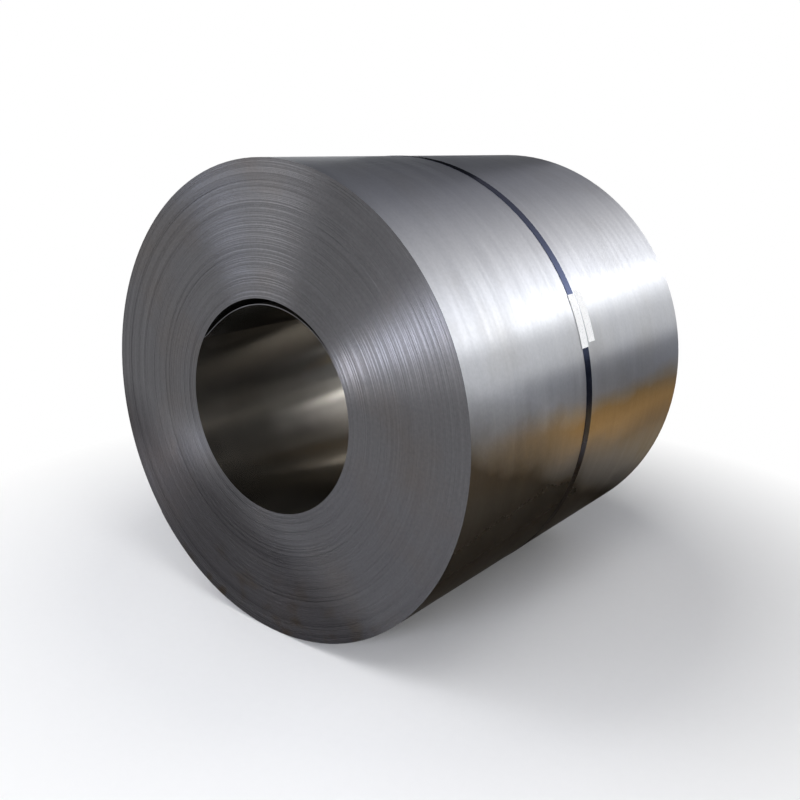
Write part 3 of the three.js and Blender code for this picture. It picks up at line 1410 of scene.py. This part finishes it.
@dataclass(frozen=True)
class Studio:
    """The floor, the backdrop, the lamps and the camera."""

    plan: StudioPlan

    def backdrop_finish(self) -> Material:
        """Make a pale matt finish that turns plain white away from the coil.

        Returns:
            The material.
        """
        material, shader = new_material("pale_matt_studio_floor")
        tree = material.node_tree
        plan = self.plan
        spots = speckle(tree, plan.floor_grain, 2.0)
        shade = between(tree, spots, 0.0, plan.floor_shade_share)
        colour = mixed(tree, shade, linear(plan.floor_colour), linear(plan.floor_shade))
        feed(shader, {"Base Color": colour, "Roughness": 0.9, "Specular IOR Level": 0.1})
        where = add_node(tree, "ShaderNodeTexCoord").outputs["Object"]
        away = add_node(tree, "ShaderNodeVectorMath", {"operation": "LENGTH"}, {0: where})
        span = (plan.white_from, plan.white_at)
        far = between(tree, away.outputs["Value"], 0.0, 1.0, span)
        path = add_node(tree, "ShaderNodeLightPath")
        seen = path.outputs["Is Camera Ray"]
        for ray in ("Is Glossy Ray", "Is Transmission Ray"):
            seen = add_node(
                tree, "ShaderNodeMath", {"operation": "ADD"}, {0: seen, 1: path.outputs[ray]}
            ).outputs[0]
        share = add_node(
            tree, "ShaderNodeMath", {"operation": "MULTIPLY"}, {0: seen, 1: far}
        ).outputs[0]
        white = add_node(tree, "ShaderNodeEmission", inputs={"Strength": 1.0})
        blend = add_node(
            tree,
            "ShaderNodeMixShader",
            inputs={0: share, 1: shader.outputs["BSDF"], 2: white.outputs[0]},
        )
        output = next(node for node in tree.nodes if node.type == "OUTPUT_MATERIAL")
        tree.links.new(blend.outputs[0], output.inputs["Surface"])
        return material

    def build_floor(self) -> Object:
        """Make a level floor that curves up into a low wall all round.

        Returns:
            The floor as one object.
        """
        plan = self.plan
        inner, bend, count = plan.floor_reach, plan.floor_bend, plan.floor_sides
        profile = [(inner * share, 0.0) for share in plan.floor_rings]
        for turn in np.linspace(0, math.pi / 2, plan.bend_steps + 1)[1:]:
            profile.append((inner + bend * math.sin(turn), bend * (1 - math.cos(turn))))
        profile.append((inner + bend, bend + plan.floor_wall))
        angles = np.linspace(0, 2 * math.pi, count + 1)[:-1]
        points = [(0.0, 0.0, 0.0)]
        for radius, height in profile[1:]:
            points += [(radius * math.cos(a), radius * math.sin(a), height) for a in angles]
        faces = [[0, 1 + k, 1 + (k + 1) % count] for k in range(count)]
        for ring in range(len(profile) - 2):
            for k in range(count):
                here, after = 1 + ring * count + k, 1 + ring * count + (k + 1) % count
                faces.append([here, here + count, after + count, after])
        floor = make_mesh("studio_floor", np.array(points), faces)
        floor.data.materials.append(self.backdrop_finish())
        return floor

    def build_lamp(self, box: Softbox) -> None:
        """Hang one softbox.

        Args:
            box: Its place, size and power.
        """
        light = bpy.data.lights.new(box.name, "AREA")
        light.shape = "RECTANGLE"
        light.size, light.size_y = box.size
        light.energy = box.power
        light.color = linear(box.colour)[:3]
        lamp = bpy.data.objects.new(box.name, light)
        lamp.location = box.place
        toward = Vector(box.target) - Vector(box.place)
        lamp.rotation_euler = toward.to_track_quat("-Z", "Y").to_euler()
        lamp.visible_camera = False
        bpy.context.scene.collection.objects.link(lamp)

    def build_board(self, board: Board) -> None:
        """Put up one matt board, out of view.

        Felt scatters what light it gets, so the steel mirrors the board as one even tone. A board with a
        glow also shines by itself, as painted light.

        Args:
            board: Its place, size and colour.
        """
        run, tilt = math.radians(board.heading), math.radians(board.tilt)
        side = np.array([math.cos(run), math.sin(run), 0]) * board.width / 2
        foot = np.array([*board.foot, board.bottom])
        level = np.array([-math.sin(run), math.cos(run), 0])
        up = (level * math.cos(tilt) + np.array([0, 0, math.sin(tilt)])) * board.height
        thick = np.cross(side, up) / np.linalg.norm(np.cross(side, up)) * board.thickness
        low = [foot - side, foot - side + thick, foot + side + thick, foot + side]
        points = np.array(low[::-1] + [corner + up for corner in low[::-1]])
        thing = make_mesh(board.name, *loft(points.reshape(2, 4, 3)))
        material, shader = new_material(board.name + "_felt")
        feed(
            shader,
            {
                "Base Color": linear(board.colour),
                "Roughness": 1.0,
                "Emission Color": linear(board.colour),
                "Emission Strength": board.glow,
            },
        )
        thing.data.materials.append(material)
        thing.visible_camera = False
        thing.visible_diffuse = False
        thing.visible_shadow = False

    def build_world(self) -> None:
        """Light the room dimly, and brighter where its windows are."""
        world = bpy.data.worlds.new("studio_air")
        world.use_nodes = True
        tree = world.node_tree
        tree.nodes.clear()
        toward = add_node(tree, "ShaderNodeTexCoord").outputs["Generated"]
        light = linear(self.plan.world)
        for glow in self.plan.glows:
            facing = add_node(
                tree,
                "ShaderNodeVectorMath",
                {"operation": "DOT_PRODUCT"},
                {0: toward, 1: Vector(glow.toward).normalized()},
            ).outputs["Value"]
            # Cut off below 0, so that a glow has no share of the room behind.
            facing = between(tree, facing, 0.0, 1.0, (0.0, 1.0))
            share = add_node(
                tree, "ShaderNodeMath", {"operation": "POWER"}, {0: facing, 1: glow.tightness}
            ).outputs[0]
            bright = tuple(part * glow.strength for part in linear(glow.colour)[:3]) + (1.0,)
            extra = mixed(tree, share, (0.0, 0.0, 0.0, 1.0), bright)
            light = mixed(tree, 1.0, light, extra, Blend.ADD)
        air = add_node(tree, "ShaderNodeBackground", inputs={"Color": light, "Strength": 1.0})
        add_node(tree, "ShaderNodeOutputWorld", inputs={"Surface": air.outputs[0]})
        bpy.context.scene.world = world

    def build_camera(self) -> None:
        """Set up the camera."""
        plan = self.plan
        lens = bpy.data.cameras.new("camera")
        lens.lens = plan.lens
        lens.sensor_width = plan.sensor
        lens.shift_x, lens.shift_y = plan.shift
        lens.clip_end = plan.clip_end
        camera = bpy.data.objects.new("camera", lens)
        camera.location = plan.eye
        camera.rotation_euler = Vector(plan.forward).to_track_quat("-Z", "Y").to_euler()
        bpy.context.scene.collection.objects.link(camera)
        bpy.context.scene.camera = camera

    def build(self) -> Object:
        """Build the whole studio.

        Returns:
            Its floor.
        """
        floor = self.build_floor()
        for box in self.plan.boxes:
            self.build_lamp(box)
        for board in self.plan.boards:
            self.build_board(board)
        self.build_world()
        self.build_camera()
        bpy.context.scene.view_settings.view_transform = "Standard"
        return floor


# --- Everything together ---


def corners(box: tuple[Vector, Vector]) -> list[list[float]]:
    """A box's two corners as plain numbers."""
    return [[round(float(value), 6) for value in corner] for corner in box]


def main() -> None:
    """Build the coil, what binds and marks it, and the studio round it."""
    logging.basicConfig(level=logging.INFO, format="%(name)s: %(message)s")
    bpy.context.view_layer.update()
    coil = CoilSize()
    strap = StrapSize()
    finishes = {zone: finish.build() for zone, finish in coil_finishes(coil).items()}
    log.info("coil: %s", CoilBody(coil, Winding(), SEED).build(finishes).name)
    log.info("strap: %s", Strap(strap, coil).build(BluedStrapping().build()).name)
    log.info("seal: %s", StrapSeal(SealSize(), strap, coil).build(SealFinish().build()).name)
    paper = LabelPaper().build()
    on_strap = LabelSize(
        name="label_on_strap_paper", node="label_on_strap", end=75.6, centre=-0.027, seat=0.0011
    )
    beside = LabelSize(
        name="label_beside_strap_paper",
        node="label_beside_strap",
        end=74.68,
        centre=0.017,
        seat=0.00005,
    )
    for size in (on_strap, beside):
        log.info("label: %s", Label(size, coil).build(paper).name)
    log.info("floor: %s", Studio(StudioPlan()).build().name)
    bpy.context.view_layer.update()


if __name__ == "__main__":
    main()
